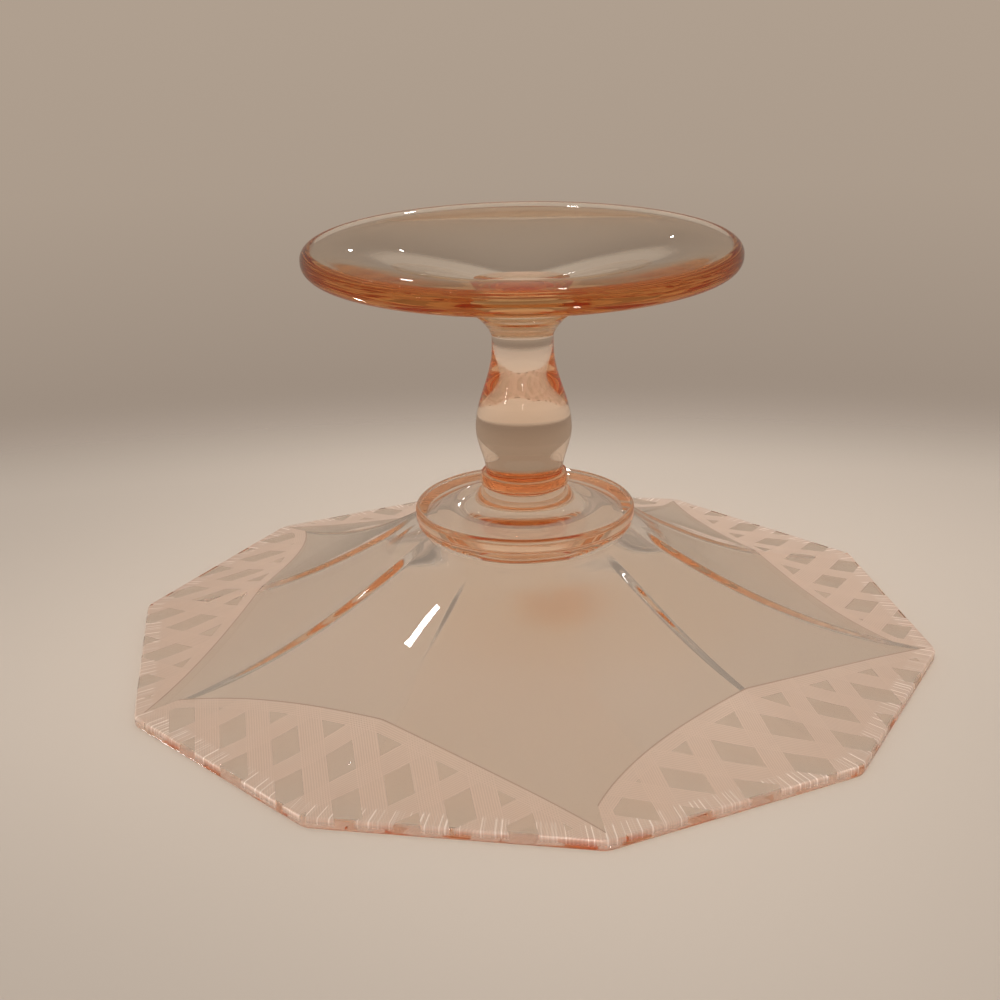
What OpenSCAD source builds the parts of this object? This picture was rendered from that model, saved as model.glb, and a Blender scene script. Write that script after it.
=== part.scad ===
// Footed compote bowl of clear pink glass: a shallow ten-sided bowl with a flared rim,
// carried by a collar disc, a neck ring and a pear-shaped stem on a round spreading foot.
// The origin is the centre of the foot's underside, and +Z runs up the stem to the open bowl.

/* [Foot] */
// Diameter of the foot
foot_d = 102; // [90:1:124]
// Height of the foot's rounded outer edge
foot_edge_h = 5.8; // [5.5:0.1:7.5]
// Width of the flat ring in the underside that the foot stands on
foot_ring_w = 2.6; // [2:0.2:6]
// Depth of the hollow inside that ring, in the middle
dish_depth = 10; // [7:0.5:11]
// Climb of the foot's upper face from its edge, if it ran on to the middle
dome_rise = 10.2; // [8:0.2:11]
// How round the hollow and the upper face are in the middle: 2 is a dome, 1 is pointed
dome_bend = 1.5; // [1.2:0.1:2]
// Diameter of the hub, on which the stem stands
hub_d = 22.5; // [19:0.5:28]
// Height of the hub above the underside
hub_h = 17; // [15.5:0.5:22]
// How far the sweep up to the hub reaches out beyond it
sweep_w = 1.25; // [0.75:0.25:8]
// How the sweep steepens towards the hub: 1 is a straight cone
sweep_bend = 1.5; // [1:0.1:2.6]
// Rounding where the edge turns into the underside
foot_under_round = 2.4; // [0.6:0.2:2.4]
// Rounding where the edge turns into the upper face
foot_upper_round = 3; // [1:0.2:3]

/* [Stem] */
// Height of the stem from the foot's hub to the neck ring
stem_h = 39; // [32:0.5:52]
// Height over which the stem narrows from the hub to the waist
flare_h = 5.5; // [3:0.25:7]
// How tightly that flare curls out towards the hub: 1 is a straight cone
flare_bend = 1.6; // [1.2:0.05:2.4]
// Diameter of the narrow waist
waist_d = 14.6; // [11:0.2:18]
// Height above the hub at which the waist starts to swell
waist_z = 8; // [7:0.25:12]
// Diameter of the pear-shaped knop
knop_d = 23; // [19:0.25:27]
// Height of the knop's widest level above the hub
knop_z = 28; // [20:0.25:30]
// Diameter of the stem's upper end
stem_top_d = 18.6; // [16:0.2:22]

/* [Neck ring] */
// Height of the neck ring
ring_h = 3; // [2.5:0.25:6]
// Diameter of the ring's outer lip
ring_d = 21.6; // [21:0.2:28]
// Diameter of the ring's lower face, on the stem
ring_seat_d = 20.6; // [18.6:0.2:20.8]

/* [Collar disc] */
// Diameter of the collar disc
disc_d = 53.2; // [42:0.2:60]
// Thickness of the disc's edge
disc_edge_h = 3.7; // [2.6:0.1:5]
// Climb of the disc's lower face from the neck ring to its edge
disc_rise = 5; // [2:0.25:6]
// How tightly that face flares out from the ring: 1 is a straight cone
disc_bend = 6; // [1.5:0.5:8]
// Rounding of the disc's edge
disc_round = 1.2; // [0.4:0.1:1.2]

/* [Bowl] */
// Diameter of the rim across its corners
rim_d = 200; // [160:1:240]
// Number of flat sides of the rim
sides = 10; // [6:1:12]
// Height of the bowl above the collar disc
bowl_h = 32.8; // [28:0.2:44]
// Diameter of the bowl's flat base
base_d = 51.6; // [49:0.2:58]
// Height of the small shoulder above the base
shoulder_h = 0.5; // [0.4:0.1:3.5]
// Step out from the base to the top of the shoulder
shoulder_step = 0.3; // [0.2:0.1:2]
// Slope of the wall where it leaves the shoulder, in degrees
wall_angle = 34; // [28:1:42]
// Slope of the wall where it meets the rim, in degrees
rim_angle = 6.5; // [2:0.5:12]
// Thickness of the wall at the shoulder
wall_t = 4; // [3:0.1:5]
// Thickness of the wall at the rim
rim_t = 2.8; // [2.2:0.1:3.6]
// Rounding of the rim's outer edge
rim_round = 0.7; // [0.3:0.1:0.9]
// Diameter of the flat floor inside
floor_d = 43; // [34:0.5:44]
// Thickness of the glass under the floor
floor_t = 3.4; // [2.6:0.1:4.6]
// Diameter at which the creases between the sides are fully sharp
crease_d = 72; // [60:1:140]

/* [Hidden] */

$fn = 96;

pink = [0.93, 0.71, 0.62];
amber_pink = [0.86, 0.52, 0.38];

// Steps of the long curves and of the round corners, and flats on each side of the bowl
curve_steps = 12;
corner_steps = 4;
side_steps = 5;

// Levels of the joints between the pieces
ring_base_z = hub_h + stem_h;
disc_base_z = ring_base_z + ring_h;
bowl_base_z = disc_base_z + disc_rise + disc_edge_h;

// Radii
foot_r = foot_d / 2;
dish_r = foot_r - foot_under_round - foot_ring_w;
dome_r = foot_r - foot_upper_round;
hub_r = hub_d / 2;
sweep_r = hub_r + sweep_w;
waist_r = waist_d / 2;
knop_r = knop_d / 2;
stem_top_r = stem_top_d / 2;
ring_r = ring_d / 2;
ring_seat_r = ring_seat_d / 2;
ring_lip_r = ring_h / 3;
ring_flat_r = ring_r - ring_lip_r;
disc_r = disc_d / 2;
rim_r = rim_d / 2;
base_r = base_d / 2;
shoulder_r = base_r + shoulder_step;
floor_r = floor_d / 2;
crease_r = crease_d / 2;

// Share of the wall's reach that each end of its curve runs straight for
wall_handle_share = 0.46;
rim_handle_share = 0.335;

function mix(a, b, t) = a + (b - a) * t;
function ease(t) = (1 - cos(180 * t)) / 2;
function clamp01(t) = max(0, min(1, t));
function smooth(t) = let (u = clamp01(t)) u * u * (3 - 2 * u);

// Points of a round corner, from one angle to another, about a centre
function corner(centre, r, from, to) =
    [for (i = [0:corner_steps]) let (a = mix(from, to, i / corner_steps))
        centre + r * [cos(a), sin(a)]];

// A solid of revolution about the Z axis from half of its section
module turned(section) rotate_extrude() polygon(section);

// Height of a swelling at a radius: full in the middle and level again at its edge
function swell(rise, edge_r, r) = rise * pow(1 - pow(r / edge_r, dome_bend), 2);

// Round foot: a shallow dome with a thick round edge, hollowed underneath inside a flat ring,
// and swept up to a hub in the middle.
module foot() {
    sweep_z = foot_edge_h + swell(dome_rise, dome_r, sweep_r);
    color(amber_pink)
    turned(concat(
        [for (i = [0:curve_steps]) let (r = mix(0, dish_r, i / curve_steps))
            [r, swell(dish_depth, dish_r, r)]],
        corner([foot_r - foot_under_round, foot_under_round], foot_under_round, -90, 0),
        corner([dome_r, foot_edge_h - foot_upper_round], foot_upper_round, 0, 90),
        [for (i = [1:curve_steps - 1]) let (r = mix(dome_r, sweep_r, i / curve_steps))
            [r, foot_edge_h + swell(dome_rise, dome_r, r)]],
        [for (i = [0:curve_steps]) let (t = i / curve_steps)
            [mix(hub_r, sweep_r, pow(1 - t, sweep_bend)), mix(sweep_z, hub_h, t)]],
        [[0, hub_h]]
    ));
}

// Radius of the stem at a height above the hub: flare, waist, pear-shaped knop, upper end
function stem_radius(h) =
    h < flare_h ? mix(waist_r, hub_r, pow(1 - h / flare_h, flare_bend))
    : h < waist_z ? waist_r
    : h < knop_z ? mix(waist_r, knop_r, ease((h - waist_z) / (knop_z - waist_z)))
    : mix(knop_r, stem_top_r, ease((h - knop_z) / (stem_h - knop_z)));

// Solid baluster stem, which stands on the hub and carries the neck ring.
module stem() {
    levels = concat(
        [for (i = [0:curve_steps]) mix(0, flare_h, i / curve_steps)],
        [for (i = [0:curve_steps - 1]) mix(waist_z, knop_z, i / curve_steps)],
        [for (i = [0:curve_steps]) mix(knop_z, stem_h, i / curve_steps)]);
    color(pink)
    translate([0, 0, hub_h])
    turned(concat([[0, 0]], [for (h = levels) [stem_radius(h), h]], [[0, stem_h]]));
}

// Neck ring: a short band that swells to a rounded lip against the collar disc.
module neck_ring() {
    color(amber_pink)
    translate([0, 0, ring_base_z])
    turned(concat(
        [[0, 0], [ring_seat_r, 0], [ring_seat_r, ring_h / 4]],
        corner([ring_flat_r, ring_h - ring_lip_r], ring_lip_r, 0, 90),
        [[0, ring_h]]
    ));
}

// Collar disc: a flat-topped wafer whose lower face flares from the ring to a round edge.
module collar_disc() {
    edge_r = disc_r - disc_round;
    color(amber_pink)
    translate([0, 0, disc_base_z])
    turned(concat(
        [[0, 0]],
        [for (i = [0:curve_steps - 1]) let (t = i / curve_steps)
            [mix(ring_flat_r, edge_r, t), disc_rise * (1 - pow(1 - t, disc_bend))]],
        corner([edge_r, disc_rise + disc_round], disc_round, -90, 0),
        corner([edge_r, disc_rise + disc_edge_h - disc_round], disc_round, 0, 90),
        [[0, disc_rise + disc_edge_h]]
    ));
}

// The wall's outer line: a curve from the shoulder to the lower edge of the rim.
wall_start = [shoulder_r, shoulder_h];
wall_end = [rim_r - rim_round, bowl_h - rim_t];
wall_reach = rim_r - shoulder_r;
wall_pull = wall_start + wall_handle_share * wall_reach * [cos(wall_angle), sin(wall_angle)];
rim_pull = wall_end - rim_handle_share * wall_reach * [cos(rim_angle), sin(rim_angle)];

function wall_line(t) =
    pow(1 - t, 3) * wall_start + 3 * pow(1 - t, 2) * t * wall_pull
    + 3 * (1 - t) * t * t * rim_pull + pow(t, 3) * wall_end;

function wall_normal(t) =
    let (d = pow(1 - t, 2) * (wall_pull - wall_start)
            + 2 * (1 - t) * t * (rim_pull - wall_pull)
            + t * t * (wall_end - rim_pull))
    [-d[1], d[0]] / norm(d);

function wall_inside(t) = wall_line(t) + wall_normal(t) * mix(wall_t, rim_t, t);

// How sharp the creases are where the wall's line has reached t: 0 is round, 1 is flat-sided
function crease(t) = smooth((wall_line(t)[0] - shoulder_r) / (crease_r - shoulder_r));

// Level rings of the bowl: radius at the corners, height and sharpness of the creases.
// They run from the base up the outside, over the rim and down the inside to the floor.
bowl_rings = concat(
    [[base_r, 0, 0]],
    [for (i = [0:curve_steps]) let (t = i / curve_steps, p = wall_line(t))
        [p[0], p[1], crease(t)]],
    [[rim_r, bowl_h - rim_t + rim_round, 1], [rim_r, bowl_h - rim_round, 1],
        [rim_r - rim_round, bowl_h, 1]],
    [for (i = [1:curve_steps]) let (t = 1 - i / curve_steps, p = wall_inside(t))
        [p[0], p[1], crease(t)]],
    [[floor_r, floor_t, 0]]
);

// Radius of a ring at an angle: from round to flat-sided as its creases sharpen
function ring_radius(ring, a) =
    let (half = 180 / sides, off = (a % (2 * half)) - half)
    ring[0] * mix(1, cos(half) / cos(off), ring[2]);

ring_points = sides * side_steps;
ring_count = len(bowl_rings);

// Ten-sided flared bowl with a flat floor, as one closed skin over its rings.
module bowl() {
    points = [for (ring = bowl_rings, i = [0:ring_points - 1])
        let (a = 360 * i / ring_points, r = ring_radius(ring, a))
        [r * cos(a), r * sin(a), ring[1]]];
    walls = [for (j = [0:ring_count - 2], i = [0:ring_points - 1])
        let (a = j * ring_points + i, b = j * ring_points + (i + 1) % ring_points,
            c = b + ring_points, d = a + ring_points)
        each [[a, d, b], [b, d, c]]];
    base_face = [for (i = [0:ring_points - 1]) i];
    floor_face = [for (i = [0:ring_points - 1]) ring_count * ring_points - 1 - i];
    color(pink)
    translate([0, 0, bowl_base_z])
    polyhedron(points, concat([base_face, floor_face], walls));
}

foot();
stem();
neck_ring();
collar_disc();
bowl();
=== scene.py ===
import math

import bpy
import numpy as np
from mathutils import Matrix, Vector


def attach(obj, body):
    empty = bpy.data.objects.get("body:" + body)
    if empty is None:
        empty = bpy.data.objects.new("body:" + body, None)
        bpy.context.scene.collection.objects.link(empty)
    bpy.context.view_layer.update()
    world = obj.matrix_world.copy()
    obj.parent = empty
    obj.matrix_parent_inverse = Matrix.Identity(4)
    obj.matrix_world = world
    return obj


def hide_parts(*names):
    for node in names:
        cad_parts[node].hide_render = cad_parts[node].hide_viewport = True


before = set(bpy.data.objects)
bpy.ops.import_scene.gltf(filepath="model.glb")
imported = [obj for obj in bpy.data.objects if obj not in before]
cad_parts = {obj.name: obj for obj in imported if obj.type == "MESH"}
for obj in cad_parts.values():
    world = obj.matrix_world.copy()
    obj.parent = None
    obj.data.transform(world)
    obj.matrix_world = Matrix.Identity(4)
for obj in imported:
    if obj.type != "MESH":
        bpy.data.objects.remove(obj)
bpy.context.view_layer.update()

# Foot: a shallow dome of pressed pink glass with a thick, fire-polished round edge. It is
# hollowed underneath, so that it stands on a narrow ring, and its top sweeps up to a hub, to
# which the stem was stuck while both were hot.
foot_radius, foot_edge_height, foot_ring_width = 0.051, 0.0058, 0.0026
foot_under_round, foot_upper_round = 0.0024, 0.003
dish_depth, dome_rise, dome_bend = 0.010, 0.0102, 1.5
hub_radius, hub_height = 0.01125, 0.017
sweep_width, sweep_bend = 0.00125, 1.5
dish_radius = foot_radius - foot_under_round - foot_ring_width
dome_radius = foot_radius - foot_upper_round
sweep_radius = hub_radius + sweep_width
turned_sides = 160

# Each piece ends a hair short of the level of its joint, so that no two faces coincide.
hair = 0.000004


def mix(low, high, share):
    return low + (high - low) * share


def shares(steps, first=0):
    """Equal steps up to 1, from 0 or from the first one that is wanted."""
    return [i / steps for i in range(first, steps + 1)]


def round_corner(radius, height, rounding, start, end, steps):
    """Points of a round corner about (radius, height), between two angles in degrees."""
    turns = [math.radians(mix(start, end, share)) for share in shares(steps)]
    return [(radius + rounding * math.cos(a), height + rounding * math.sin(a)) for a in turns]


long_run, brace_gap = 0.003, 0.0003


def braced(section):
    """Adds a point near each end of every long straight run, so that smoothing keeps it flat."""
    line = [section[0]]
    for start, end in zip(section, section[1:]):
        reach = math.dist(start, end)
        if reach > long_run:
            near, far = brace_gap / reach, 1 - brace_gap / reach
            line += [tuple(mix(a, b, s) for a, b in zip(start, end)) for s in (near, far)]
        line.append(end)
    return line


merge_distance, smooth_below = 0.000002, 20


def turn(name, section, sides):
    """Turns a half section, points of (radius, height) from axis to axis, about Z."""
    bpy.ops.object.select_all(action="DESELECT")
    bpy.ops.mesh.primitive_plane_add(size=0.001, location=(0, 0, 0))
    piece = bpy.context.object
    piece.name = piece.data.name = name
    bpy.ops.object.mode_set(mode="EDIT")
    bpy.ops.mesh.select_all(action="SELECT")
    bpy.ops.mesh.merge(type="CENTER")
    at = (0, 0)
    for i, point in enumerate(braced(section)):
        move = {"value": (point[0] - at[0], 0, point[1] - at[1])}
        if i:
            bpy.ops.mesh.extrude_vertices_move(TRANSFORM_OT_translate=move)
        else:
            bpy.ops.transform.translate(**move)
        at = point
    bpy.ops.mesh.select_all(action="SELECT")
    bpy.ops.mesh.spin(steps=sides, angle=2 * math.pi, center=(0, 0, 0), axis=(0, 0, 1))
    bpy.ops.mesh.select_all(action="SELECT")
    bpy.ops.mesh.remove_doubles(threshold=merge_distance)
    bpy.ops.mesh.normals_make_consistent(inside=False)
    bpy.ops.object.mode_set(mode="OBJECT")
    bpy.ops.object.shade_smooth_by_angle(angle=math.radians(smooth_below))
    return piece


class Value:
    """A number that changes over a surface: sums on it add Math nodes to its finish."""

    def __init__(self, finish, socket):
        self.finish, self.socket = finish, socket

    def __add__(self, other):
        return self.finish.sum("ADD", self, other)

    def __sub__(self, other):
        return self.finish.sum("SUBTRACT", self, other)

    def __rsub__(self, other):
        return self.finish.sum("SUBTRACT", other, self)

    def __mul__(self, other):
        return self.finish.sum("MULTIPLY", self, other)

    def __truediv__(self, other):
        return self.finish.sum("DIVIDE", self, other)

    def __rtruediv__(self, other):
        return self.finish.sum("DIVIDE", other, self)

    def __lt__(self, other):
        return self.finish.sum("LESS_THAN", self, other)

    def __gt__(self, other):
        return self.finish.sum("GREATER_THAN", self, other)

    def __abs__(self):
        return self.finish.sum("ABSOLUTE", self)

    __radd__, __rmul__ = __add__, __mul__


class Finish:
    """The nodes of a material or of the studio's light, added one at a time."""

    def __init__(self, owner):
        owner.use_nodes = True
        self.tree = owner.node_tree
        self.tree.nodes.clear()

    def node(self, kind, settings=(), sockets=()):
        """Adds a node with its settings, then the values or links of its sockets."""
        made = self.tree.nodes.new("ShaderNode" + kind)
        for name, value in dict(settings).items():
            setattr(made, name, value)
        for name, value in dict(sockets).items():
            value = value.socket if isinstance(value, Value) else value
            if isinstance(value, bpy.types.NodeSocket):
                self.tree.links.new(value, made.inputs[name])
            else:
                made.inputs[name].default_value = value
        return made.outputs

    def sum(self, operation, *numbers):
        made = self.node("Math", {"operation": operation}, enumerate(numbers))
        return Value(self, made[0])

    def smooth_step(self, value, low, high):
        """0 below low, 1 above high, and a smooth climb between them."""
        made = self.node(
            "MapRange",
            {"interpolation_type": "SMOOTHSTEP"},
            {"Value": value, "From Min": low, "From Max": high},
        )
        return Value(self, made[0])

    def object_xyz(self):
        """The place on the piece, as one socket and as its three numbers."""
        place = self.node("TexCoord")["Object"]
        split = self.node("SeparateXYZ", (), {"Vector": place})
        return place, *[Value(self, split[axis]) for axis in "XYZ"]

    def ramp(self, value, stops):
        """A colour that runs through stops of (value, colour)."""
        made = self.node("ValToRGB", (), {"Fac": value})
        band = made[0].node.color_ramp
        while len(band.elements) < len(stops):
            band.elements.new(0.5)
        for point, (position, colour) in zip(band.elements, stops):
            point.position, point.color = position, colour
        return made["Color"]

    def noise(self, place, scale, detail=2.0):
        made = self.node(
            "TexNoise", (), {"Vector": place, "Scale": scale, "Detail": detail}
        )
        return Value(self, made[0])

    def bump(self, strength, distance, height, **under):
        """A surface raised by a height, over another such surface if one is given."""
        sizes = {"Strength": strength, "Distance": distance, "Height": height}
        return self.node("Bump", (), sizes | under)["Normal"]


glass_bend, polish = 1.5, 0.002
smear_scale, smear_dulling, smears_from, smears_full = 140.0, 0.02, 0.45, 0.85
wave_height, relief_height, relief_strength = 0.001, 0.0001, 0.2
cut_roughness, cut_clearness = 0.5, 0.6
white = (1, 1, 1, 1)
pink_tint, amber_tint = (0.95, 0.55, 0.15, 1), (0.91, 0.585, 0.12, 1)


def pink_glass(name, joints, wave, wave_scale, depth, tint=pink_tint, marks=None):
    """Clear pink glass with slight waves. joints are (height, radius) of the discs where it
    runs on into the next piece, and depth is how strongly its tint colours what is seen
    through it. marks works out how matt it is, its relief and the colour of its matt parts."""
    material = bpy.data.materials.new(name)
    finish = Finish(material)
    place, x, y, z = finish.object_xyz()
    out = finish.sum("SQRT", x * x + y * y)
    joined = 0.0
    for height, radius in joints:
        at_joint = (abs(z - height) < 3 * hair) * (out < radius + hair)
        joined = finish.sum("MAXIMUM", at_joint, joined)
    matt, relief, matt_colour = marks(finish, place, x, y, out) if marks else (None,) * 3
    normal = finish.bump(wave, wave_height, finish.noise(place, wave_scale))
    if relief is not None:
        normal = finish.bump(relief_strength, relief_height, relief, Normal=normal)
    smears = finish.smooth_step(finish.noise(place, smear_scale, 3.0), smears_from, smears_full)
    glass = {
        "Base Color": white,
        "Roughness": smears * smear_dulling + polish,
        "IOR": glass_bend,
        "Transmission Weight": 1.0,
        "Normal": normal,
    }
    surface = finish.node("BsdfPrincipled", (), glass)[0]
    if matt is not None:
        cut_glass = {
            "Base Color": matt_colour,
            "Roughness": cut_roughness,
            "IOR": glass_bend,
            "Transmission Weight": cut_clearness,
            "Normal": normal,
        }
        cut = finish.node("BsdfPrincipled", (), cut_glass)[0]
        surface = finish.node("MixShader", (), {0: matt, 1: surface, 2: cut})[0]
    # Joint discs aren't seen, and no face of the glass casts a shadow: its inside colours
    # the light of the lamps instead.
    clear = finish.node("BsdfTransparent", (), {"Color": white})[0]
    surface = finish.node("MixShader", (), {0: joined, 1: surface, 2: clear})[0]
    lamp_ray = finish.node("LightPath")["Is Shadow Ray"]
    surface = finish.node("MixShader", (), {0: lamp_ray, 1: surface, 2: clear})[0]
    inside = finish.node("VolumeAbsorption", (), {"Color": tint, "Density": depth})[0]
    finish.node("OutputMaterial", (), {"Surface": surface, "Volume": inside})
    return material


def swell(rise, share):
    """Height of a swelling at a share of its radius: full in the middle, level at its edge."""
    return rise * (1 - share**dome_bend) ** 2


dish = [(dish_radius * share, swell(dish_depth, share)) for share in shares(44)]
dome = [
    (radius, foot_edge_height + swell(dome_rise, radius / dome_radius))
    for radius in (mix(dome_radius, sweep_radius, share) for share in shares(36, 1))
]
sweep = [
    (
        mix(hub_radius, sweep_radius, (1 - share) ** sweep_bend),
        mix(dome[-1][1], hub_height - hair, share),
    )
    for share in shares(12, 1)
]
foot = turn(
    "foot_glass",
    dish
    + round_corner(foot_radius - foot_under_round, foot_under_round, foot_under_round, -90, 0, 14)
    + round_corner(dome_radius, foot_edge_height - foot_upper_round, foot_upper_round, 0, 90, 16)
    + dome
    + sweep
    + [(0, hub_height - hair)],
    turned_sides,
)
streak_stretch, streak_strength = (25, 25, 1400), 2
streaks_from, streaks_full = foot_radius - 0.004, foot_radius - 0.002


def edge_streaks(finish, place, x, y, out):
    """Fine level streaks that the mould left round the foot's thick edge."""
    drawn = finish.node("Mapping", (), {"Vector": place, "Scale": streak_stretch})["Vector"]
    edge = finish.smooth_step(out, streaks_from, streaks_full)
    return None, finish.noise(drawn, 1.0) * edge * streak_strength, None


foot.data.materials.append(
    pink_glass(
        "foot_pink_glass",
        [(hub_height, hub_radius)],
        wave=0.03,
        wave_scale=40.0,
        depth=28.0,
        tint=amber_tint,
        marks=edge_streaks,
    )
)
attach(foot, "root")
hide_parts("foot")

# Stem: a solid baluster of pink glass, pressed in a two-part mould and fire-polished. It
# flares out on the hub, narrows to a waist and swells to a pear-shaped knop.
stem_height, flare_height, flare_bend = 0.039, 0.0055, 1.6
waist_radius, waist_level = 0.0073, 0.008
knop_radius, knop_level, stem_top_radius = 0.0115, 0.028, 0.0093
ring_level = hub_height + stem_height


def ease(share):
    """A share from 0 to 1 that starts and stops gently."""
    return (1 - math.cos(math.pi * share)) / 2


def stem_radius(level):
    if level < flare_height:
        return mix(waist_radius, hub_radius, (1 - level / flare_height) ** flare_bend)
    if level < waist_level:
        return waist_radius
    if level < knop_level:
        share = (level - waist_level) / (knop_level - waist_level)
        return mix(waist_radius, knop_radius, ease(share))
    share = (level - knop_level) / (stem_height - knop_level)
    return mix(knop_radius, stem_top_radius, ease(share))


stem_side = [(stem_radius(share * stem_height), share * stem_height) for share in shares(90)]
stem_side[0] = (hub_radius, hair)
stem_side[-1] = (stem_top_radius, stem_height - hair)
stem = turn(
    "stem_glass",
    [(0, hub_height + hair)]
    + [(radius, hub_height + level) for radius, level in stem_side]
    + [(0, ring_level - hair)],
    turned_sides,
)
stem.data.materials.append(
    pink_glass(
        "stem_pink_glass",
        [(hub_height, hub_radius), (ring_level, stem_top_radius)],
        wave=0.04,
        wave_scale=70.0,
        depth=25.0,
    )
)
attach(stem, "root")
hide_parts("stem")

# Neck ring: a short band of the same glass, gathered on the end of the stem while it was hot,
# that swells to a rounded lip under the disc.
ring_height, ring_radius = 0.003, 0.0108
ring_seat_radius, ring_seat_round = 0.0103, 0.0003
ring_lip_round = ring_height / 3
ring_flat_radius = ring_radius - ring_lip_round
disc_level = ring_level + ring_height
neck_ring = turn(
    "neck_ring_glass",
    [(0, ring_level + hair), (stem_top_radius, ring_level + hair)]
    + round_corner(
        ring_seat_radius - ring_seat_round, ring_level + ring_seat_round, ring_seat_round, -60, 0, 6
    )
    + [(ring_seat_radius, ring_level + ring_height / 4)]
    + round_corner(ring_flat_radius, disc_level - hair - ring_lip_round, ring_lip_round, 0, 90, 14)
    + [(0, disc_level - hair)],
    turned_sides,
)
neck_ring.data.materials.append(
    pink_glass(
        "ring_shaded_pink_glass",
        [(ring_level, stem_top_radius), (disc_level, ring_flat_radius)],
        wave=0.03,
        wave_scale=80.0,
        # Its tint is set far deeper than the stem's: painted shade, a darker copy of the same glass
        # that stands in for light running a long way inside the ring.
        depth=185.0,
    )
)
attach(neck_ring, "root")
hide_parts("neck_ring")

# Collar disc: a wafer of the same glass that carries the bowl. Its lower face flares from
# the ring to a thick round edge, and its upper face was stuck flat to the bowl.
disc_radius, disc_edge_height, disc_rise, disc_round = 0.0266, 0.0037, 0.005, 0.0012
disc_bend = 6
bowl_level = disc_level + disc_rise + disc_edge_height
disc_flat_radius = disc_radius - disc_round
disc_under = [
    (
        mix(ring_flat_radius, disc_flat_radius, share),
        disc_level + (disc_rise - hair) * (1 - (1 - share) ** disc_bend) + hair,
    )
    for share in shares(40)[:-1]
]
collar_disc = turn(
    "collar_disc_glass",
    [(0, disc_level + hair)]
    + disc_under
    + round_corner(disc_flat_radius, disc_level + disc_rise + disc_round, disc_round, -90, 0, 10)
    + round_corner(disc_flat_radius, bowl_level - hair - disc_round, disc_round, 0, 90, 10)
    + [(0, bowl_level - hair)],
    turned_sides,
)
collar_disc.data.materials.append(
    pink_glass(
        "disc_pink_glass",
        [(disc_level, ring_flat_radius), (bowl_level, disc_flat_radius)],
        wave=0.03,
        wave_scale=60.0,
        depth=11.0,
    )
)
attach(collar_disc, "root")
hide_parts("collar_disc")

# Bowl: pink glass pressed in a ten-sided mould, flared, and then cut on the outside by hand
# with five scallops of criss-cross lattice in fine matt lines.
rim_radius, bowl_height, bowl_sides = 0.100 - hair, 0.0328, 10
base_radius, shoulder_height, shoulder_step = 0.0258, 0.0005, 0.0003
wall_thickness, rim_thickness, rim_rounding = 0.004, 0.0028, 0.0007
floor_radius, floor_thickness = 0.0215, 0.0034
wall_slope, wall_pull_share = 34, 0.46
rim_slope, rim_pull_share = 6.5, 0.335
crease_radius, corner_sharpness, corner_gather = 0.036, 260, 0.88
columns_per_side, wall_steps = 36, 48
rim_round_radius = rim_radius - rim_rounding
shoulder_radius = base_radius + shoulder_step
wall_start = Vector((shoulder_radius, shoulder_height))
wall_end = Vector((rim_round_radius, bowl_height - rim_thickness))
wall_reach = rim_radius - shoulder_radius


def heading(degrees):
    return Vector((math.cos(math.radians(degrees)), math.sin(math.radians(degrees))))


wall_pull = wall_start + heading(wall_slope) * wall_reach * wall_pull_share
rim_pull = wall_end - heading(rim_slope) * wall_reach * rim_pull_share


def wall_line(t):
    """Point of the wall's outer line, and its normal towards the inside of the bowl."""
    s = 1 - t
    point = (
        wall_start * s**3
        + wall_pull * 3 * s * s * t
        + rim_pull * 3 * s * t * t
        + wall_end * t**3
    )
    along = (wall_pull - wall_start) * s * s + (rim_pull - wall_pull) * 2 * s * t
    along += (wall_end - rim_pull) * t * t
    return point, Vector((-along.y, along.x)).normalized()


outside = [wall_line(t)[0] for t in shares(wall_steps)]
inside = []
for t in reversed(shares(wall_steps)):
    point, normal = wall_line(t)
    inside.append(point + normal * mix(wall_thickness, rim_thickness, t))
rim_edge = round_corner(
    rim_round_radius, bowl_height - rim_thickness + rim_rounding, rim_rounding, -70, 0, 5
)
rim_edge += round_corner(rim_round_radius, bowl_height - rim_rounding, rim_rounding, 0, 88, 6)
bowl_section = [(0, 0), (disc_flat_radius, 0), (base_radius, 0)]
bowl_section += [tuple(p) for p in outside] + rim_edge + [tuple(p) for p in inside]
bowl_section += [(floor_radius, floor_thickness), (0, floor_thickness)]
bowl = turn(
    "bowl_glass",
    [(radius, bowl_level + max(height, hair)) for radius, height in bowl_section],
    bowl_sides * columns_per_side,
)

# The mould's ten sides: the turned wall is gathered towards ten corners and drawn in flat
# between them, from nothing at the shoulder to the full amount where the creases start.
side = 2 * math.pi / bowl_sides
points = np.array([v.co for v in bowl.data.vertices])
out = np.hypot(points[:, 0], points[:, 1])
turned = np.arctan2(points[:, 1], points[:, 0])
corner_before = np.floor(turned / side + 1e-6)
within = turned / side - corner_before
within = within - corner_gather * np.sin(2 * math.pi * within) / (2 * math.pi)
turned = (corner_before + within) * side
off = (within - 0.5) * side
middle = np.cos(off) ** corner_sharpness
middle += np.maximum(np.cos(np.abs(off) - side), 0) ** corner_sharpness
flat = math.cos(side / 2) / middle ** (1 / corner_sharpness)
crease = np.clip((out - shoulder_radius) / (crease_radius - shoulder_radius), 0, 1)
crease = crease * crease * (3 - 2 * crease)
drawn_in = out * (1 + (flat - 1) * crease)
points[:, 0], points[:, 1] = drawn_in * np.cos(turned), drawn_in * np.sin(turned)
bowl.data.vertices.foreach_set("co", points.astype(np.float32).ravel())
bowl.data.update()

# The cuts are on the outer face only: cut_face is 1 there and 0 inside the bowl.
inner_height = np.interp(out, *zip(*sorted(map(tuple, inside))))
outer_height = np.interp(out, *zip(*sorted(map(tuple, outside))))
middle_height = bowl_level + (inner_height + outer_height) / 2
cut_face = bowl.data.attributes.new("cut_face", "FLOAT", "POINT")
cut_face.data.foreach_set("value", (points[:, 2] < middle_height).astype(np.float32))

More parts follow.
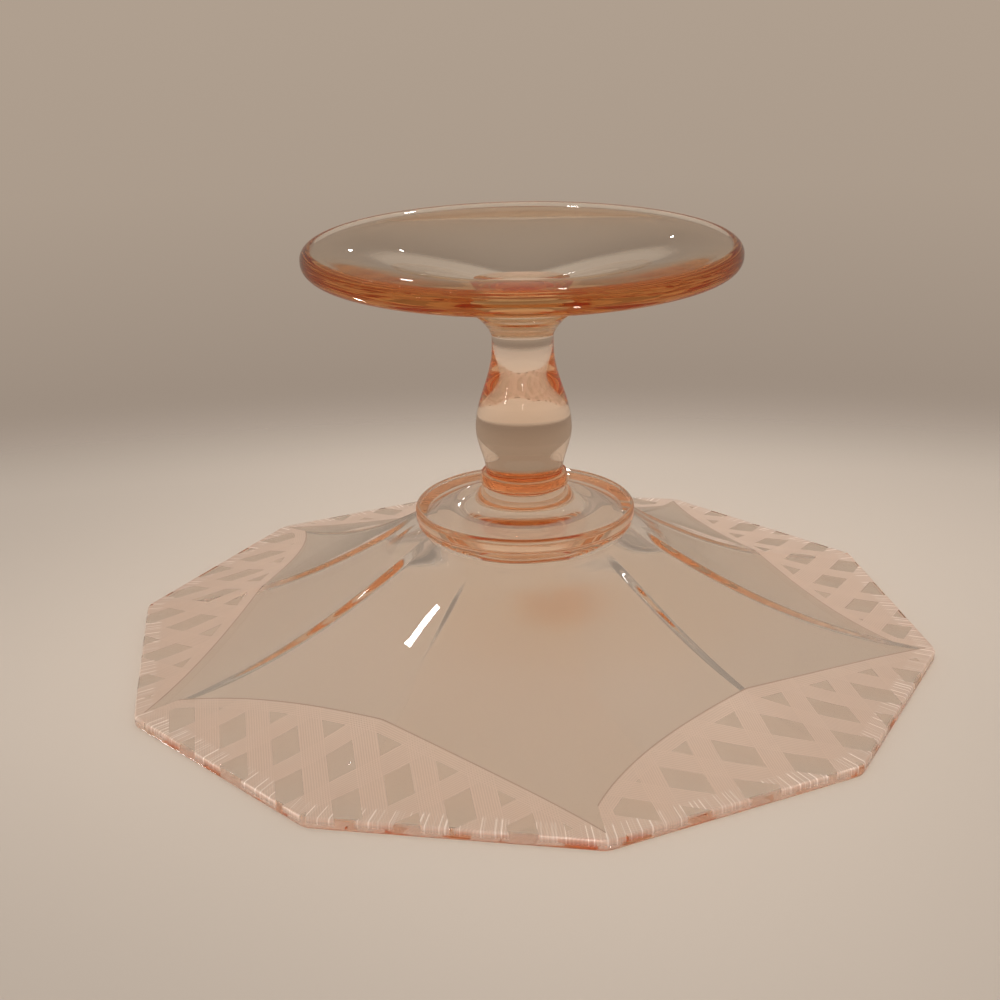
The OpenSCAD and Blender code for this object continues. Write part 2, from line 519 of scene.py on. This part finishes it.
# The lattice is measured in shares of the rim's radius: u runs across a scallop from its
# middle line and v along that line. The arc's terms go from the fourth power of u down, and
# a family of bands has its shares of u and v, its start and its pitch.
scallops = 5
arc_terms = (0.343, 0.188, 0.130, -0.101, 0.687)
arc_softness, arc_line_half, arc_line_end = 0.001, 0.0016, 0.99
border_width, band_width, band_softness = 0.035, 0.055, 0.0006
band_families = [(0.8, 0.6, 0.342, 0.112), (-0.876, 0.482, 0.165, 0.139)]
line_pitch, line_low, line_high = 0.0055, 0.2, 0.8
notch_scale, notches_from, notches_full = 160.0, 0.5, 0.7
notch_zone_from, notch_zone_full = 0.950, 0.962
band_matt, line_matt, notch_matt, arc_line_matt = 0.64, 0.08, 0.9, 0.75
# Colours of the matt cuts: the middle stop is the cut glass's own colour, the pale stop is a
# painted highlight on the notches at the rim, and the dark stop is painted shade along the arc's
# cut line.
cut_colours_with_painted_light = [
    (0, (0.30, 0.18, 0.12, 1)),
    (0.5, (0.66, 0.465, 0.35, 1)),
    (1, (0.90, 0.78, 0.68, 1)),
]


def repeated_band(finish, across, pitch):
    """1 within each band of a family that repeats at a pitch, and 0 between them."""
    near = abs(finish.sum("FRACT", across / pitch + 0.5) - 0.5) * pitch
    half = band_width / 2
    return 1 - finish.smooth_step(near, half - band_softness, half + band_softness)


def cut_lattice(finish, place, x, y, out):
    """Five scallops, each with a border along its arc and two families of straight bands that
    cross. Every band is a comb of fine wheel-cut lines, and ends in notches at the rim that are
    painted pale as a highlight. The arc's cut line is painted dark as shade."""
    fifth = 2 * math.pi / scallops
    turned = finish.sum("ARCTAN2", y, x)
    off = turned - finish.sum("ROUND", turned / fifth) * fifth
    reach = out / rim_radius
    u = reach * finish.sum("SINE", off)
    v = reach * finish.sum("COSINE", off)
    arc = arc_terms[0]
    for term in arc_terms[1:]:
        arc = u * arc + term
    beyond = v - arc
    within = finish.smooth_step(beyond, -arc_softness, arc_softness)
    past_border = finish.smooth_step(
        beyond, border_width - arc_softness, border_width + arc_softness
    )
    side_off = finish.sum("FRACT", turned / side) - 0.5
    side_reach = reach * finish.sum("COSINE", side_off * side) / math.cos(side / 2)
    ripple = {"W": turned, "Scale": notch_scale}
    notched = Value(finish, finish.node("TexNoise", {"noise_dimensions": "1D"}, ripple)[0])
    notches = finish.smooth_step(notched, notches_from, notches_full)
    notches = notches * finish.smooth_step(side_reach, notch_zone_from, notch_zone_full) * within
    arc_line = (abs(beyond) < arc_line_half) * (side_reach < arc_line_end)
    bands = [(beyond, within * (1 - past_border))]
    for across_u, across_v, start, pitch in band_families:
        across = u * across_u + v * across_v - start
        bands.append((across, repeated_band(finish, across, pitch) * within))
    matt, relief, ends = 0.0, 0.0, 0.0
    for across, band in bands:
        groove = abs(finish.sum("FRACT", across / line_pitch) - 0.5) * 2
        groove = finish.smooth_step(groove, line_low, line_high)
        matt = finish.sum("MAXIMUM", matt, band * (groove * line_matt + band_matt))
        relief = relief + band * groove
        ends = finish.sum("MAXIMUM", ends, band * notches)
    matt = finish.sum("MAXIMUM", matt, ends * notch_matt)
    matt = finish.sum("MAXIMUM", matt, arc_line * arc_line_matt)
    outer = Value(finish, finish.node("Attribute", {"attribute_name": "cut_face"})["Fac"])
    # Painted light on the cuts: paler on the notches as a highlight, darker along the arc's line as
    # shade.
    painted_highlight_and_shade = ends * 0.5 - arc_line * 0.5 + 0.5
    return matt * outer, relief * outer, finish.ramp(painted_highlight_and_shade, cut_colours_with_painted_light)


bowl.data.materials.append(
    pink_glass(
        "bowl_pink_glass",
        [(bowl_level, disc_flat_radius)],
        wave=0.05,
        wave_scale=30.0,
        depth=16.0,
        marks=cut_lattice,
    )
)
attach(bowl, "root")
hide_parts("bowl")

# Floor: two plain pale sheets of paper, each seen from its own side only. The compote stands
# on one with its foot, and on the other with its rim when it is turned over as photographed.
sheet_colour, sheet_roughness, sheet_bend = (0.545, 0.453, 0.372, 1), 0.9, 1.3
sheet_radius, sheet_fades_from, sheet_gone = 2.5, 0.9, 2.4
glancing_from, glancing_gone = 0.665, 0.715


def pale_sheet(name, level, faces_up, fades_glancing):
    """A round sheet whose far part fades out, and the rest too if seen at a glancing angle."""
    bpy.ops.object.select_all(action="DESELECT")
    bpy.ops.mesh.primitive_circle_add(
        vertices=96, radius=sheet_radius, fill_type="NGON", location=(0, 0, level)
    )
    sheet = bpy.context.object
    sheet.name = sheet.data.name = name
    bpy.ops.object.transform_apply(location=True, rotation=True, scale=True)
    if not faces_up:
        bpy.ops.object.mode_set(mode="EDIT")
        bpy.ops.mesh.select_all(action="SELECT")
        bpy.ops.mesh.flip_normals()
        bpy.ops.object.mode_set(mode="OBJECT")
    material = bpy.data.materials.new(name + "_paper")
    finish = Finish(material)
    _, x, y, _ = finish.object_xyz()
    plain_paper = {"Base Color": sheet_colour, "Roughness": sheet_roughness, "IOR": sheet_bend}
    paper = finish.node("BsdfPrincipled", (), plain_paper)[0]
    nothing = finish.node("BsdfTransparent")[0]
    back = Value(finish, finish.node("NewGeometry")["Backfacing"])
    out = finish.sum("SQRT", x * x + y * y)
    unseen = finish.sum("MAXIMUM", back, finish.smooth_step(out, sheet_fades_from, sheet_gone))
    if fades_glancing:
        facing = Value(finish, finish.node("LayerWeight", (), {"Blend": 0.5})["Facing"])
        glancing = finish.smooth_step(facing, glancing_from, glancing_gone)
        unseen = finish.sum("MAXIMUM", unseen, glancing)
    surface = finish.node("MixShader", (), {0: unseen, 1: paper, 2: nothing})[0]
    finish.node("OutputMaterial", (), {"Surface": surface})
    sheet.data.materials.append(material)
    sheet.visible_shadow = sheet.visible_diffuse = sheet.visible_glossy = False


rim_level = bowl_level + bowl_height
pale_sheet("foot_floor", 0, True, False)
pale_sheet("rim_floor", rim_level, False, True)

# Studio: a soft pale room, alike above and below. What the camera and the glass see of it is
# a warm backdrop, palest overhead, darkest some way above the floor and dimmer in reflections.
room_light, reflection_dimming = 0.80, 0.25
plain_light = (room_light, room_light, room_light, 1)
backdrop_shades = [
    (0.07, (0.43, 0.347, 0.275, 1)),
    (0.17, (0.41, 0.330, 0.262, 1)),
    (0.28, (0.34, 0.272, 0.218, 1)),
    (0.50, (0.38, 0.318, 0.266, 1)),
    (0.95, (0.55, 0.490, 0.440, 1)),
]
room = bpy.data.worlds.new("studio")
bpy.context.scene.world = room
studio = Finish(room)
view_way = studio.node("TexCoord")["Generated"]
height = Value(studio, studio.node("SeparateXYZ", (), {"Vector": view_way})["Z"])
backdrop = studio.ramp(abs(height), backdrop_shades)
rays = studio.node("LightPath")
glossy = Value(studio, rays["Is Glossy Ray"])
seen = studio.sum("MAXIMUM", Value(studio, rays["Is Camera Ray"]), glossy)
seen = studio.sum("MAXIMUM", seen, Value(studio, rays["Is Transmission Ray"]))
shown = studio.node("Mix", {"data_type": "RGBA"}, {0: seen, 6: plain_light, 7: backdrop})[2]
dimmed = 1 - glossy * reflection_dimming
sky = studio.node("Background", (), {"Color": shown, "Strength": dimmed})[0]
studio.node("OutputWorld", (), {"Surface": sky})

# Lamps: two large soft ones, a narrow one for a pool of light on the bowl, and small bright
# ones that glint on the glass. They and the camera stand round the compote as it was
# photographed: turned over on its rim, with one flat side near.
photo_turn = -9.105
turned_over = (
    Matrix.Rotation(math.radians(photo_turn), 4, "Z")
    @ Matrix.Translation((0, 0, rim_level))
    @ Matrix.Rotation(math.pi, 4, "Y")
)
lamp_aim = Vector((0, 0, 0.04))
soft_size, soft_radiance, soft_distance = 0.9, 0.6, 1.4
glint_radiance, glint_distance = 30, 1.2
full_spread = 180


def lamp(
    name, azimuth, elevation, distance, width, height, radiance, spread=full_spread, glints=False
):
    """A lamp round the turned-over compote. Azimuth 0 is behind it, 90 is to its right."""
    a, e = math.radians(azimuth), math.radians(elevation)
    way = Vector((math.sin(a) * math.cos(e), math.cos(a) * math.cos(e), math.sin(e)))
    light = bpy.data.lights.new(name, "AREA")
    light.shape, light.size, light.size_y = "RECTANGLE", width, height
    light.energy, light.spread = radiance * math.pi * width * height, math.radians(spread)
    holder = bpy.data.objects.new(name, light)
    bpy.context.scene.collection.objects.link(holder)
    facing = (-way).to_track_quat("-Z", "Y").to_matrix().to_4x4()
    holder.matrix_world = turned_over @ Matrix.Translation(lamp_aim + way * distance) @ facing
    holder.visible_camera = False
    holder.visible_glossy = holder.visible_transmission = glints


lamp("soft_over_foot", 20, 75, soft_distance, soft_size, soft_size, soft_radiance)
lamp("soft_over_rim", -20, -75, soft_distance, soft_size, soft_size, soft_radiance)
lamp(
    "pool_on_bowl",
    azimuth=-150,
    elevation=70,
    distance=0.6,
    width=0.25,
    height=0.25,
    radiance=0.40,
    spread=20,
)
for number, (azimuth, elevation, width, height) in enumerate(
    [
        (-54, 46, 0.070, 0.006),
        (-53, 42, 0.008, 0.014),
        (-21.5, 39, 0.012, 0.012),
        (-20, 37.5, 0.008, 0.008),
        (-27, 50, 0.014, 0.014),
        (-66, 72, 0.014, 0.014),
        (40, 49, 0.014, 0.014),
        (-5, 14, 0.010, 0.008),
        (2, 19, 0.008, 0.008),
        (-178, 18, 0.020, 0.060),
        (-128, 17, 0.020, 0.060),
        (-60, -40, 0.050, 0.120),
        (150, -35, 0.060, 0.100),
        (10, -35, 0.060, 0.060),
    ],
    1,
):
    lamp(
        f"glint_{number}",
        azimuth,
        elevation,
        glint_distance,
        width,
        height,
        glint_radiance,
        glints=True,
    )

# Camera: where the photograph's stood, looking down a little at the compote, which is turned
# over on its rim.
camera_sensor, camera_lens = 36, 59.54
camera_back, camera_height, camera_tilt = 0.37728, 0.17932, 20.70
camera_yaw, camera_roll = 0.0160, -0.0191
camera = bpy.data.cameras.new("camera")
camera.sensor_width, camera.lens = camera_sensor, camera_lens
camera.clip_start, camera.clip_end = 0.01, 20
eye = bpy.data.objects.new("camera", camera)
bpy.context.scene.collection.objects.link(eye)
eye.matrix_world = (
    turned_over
    @ Matrix.Translation((0, -camera_back, camera_height))
    @ Matrix.Rotation(camera_yaw, 4, "Z")
    @ Matrix.Rotation(math.radians(90 - camera_tilt), 4, "X")
    @ Matrix.Rotation(camera_roll, 4, "Z")
)
scene = bpy.context.scene
scene.camera = eye
scene.view_settings.view_transform = "Standard"

# Light passes many faces of the clear glass on its way.
light_bounces = 64
scene.cycles.max_bounces = scene.cycles.transmission_bounces = light_bounces
scene.cycles.glossy_bounces = scene.cycles.transparent_max_bounces = light_bounces
